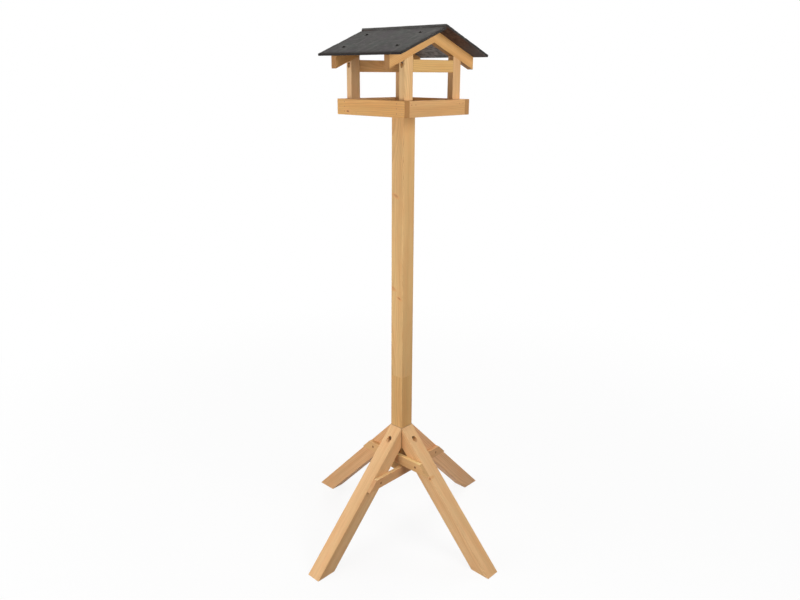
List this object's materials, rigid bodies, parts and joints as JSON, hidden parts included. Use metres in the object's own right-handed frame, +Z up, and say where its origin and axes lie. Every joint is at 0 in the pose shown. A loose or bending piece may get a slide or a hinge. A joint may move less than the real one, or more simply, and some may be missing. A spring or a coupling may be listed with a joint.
{
  "type": "bird table",
  "caption": "Free-standing wooden bird table: an open feeding tray under a pitched slate roof, on a tall square post with splayed, braced legs",
  "frame": {"origin": "on the ground, midway between the four feet, on the post's axis", "axes": "+Z up along the post; X along the roof's ridge; -Y is the front, +X the right-hand gable"},
  "size_m": [0.73, 0.73, 1.4921],
  "materials": {
    "pine": "planed and stained honey brown",
    "dowel_wood": "plain beech",
    "slate": "riven, matt",
    "steel": "zinc plated and dulled by weather"
  },
  "bodies": {
    "root": {"post_lower": "pine", "post_upper": "pine", "post_dowel": "dowel_wood", "leg_front": "pine", "leg_right": "pine", "leg_back": "pine", "leg_left": "pine", "brace_upper": "pine", "brace_lower": "pine", "leg_bolts": "steel", "leg_washers": "steel", "brace_screws": "steel", "tray_front": "pine", "tray_back": "pine", "tray_left": "pine", "tray_right": "pine", "tray_floor": "pine", "post_screws": "steel", "corner_nails": "steel", "floor_nails": "steel", "upright_front_left": "pine", "upright_front_right": "pine", "upright_back_left": "pine", "upright_back_right": "pine", "upright_nails": "steel", "beam_left": "pine", "beam_right": "pine", "rafter_front_left": "pine", "rafter_front_right": "pine", "rafter_back_left": "pine", "rafter_back_right": "pine", "upright_screws": "steel", "frame_dowels": "dowel_wood", "slate_front": "slate", "slate_back": "slate", "slate_screws": "steel"}
  },
  "joints": []
}
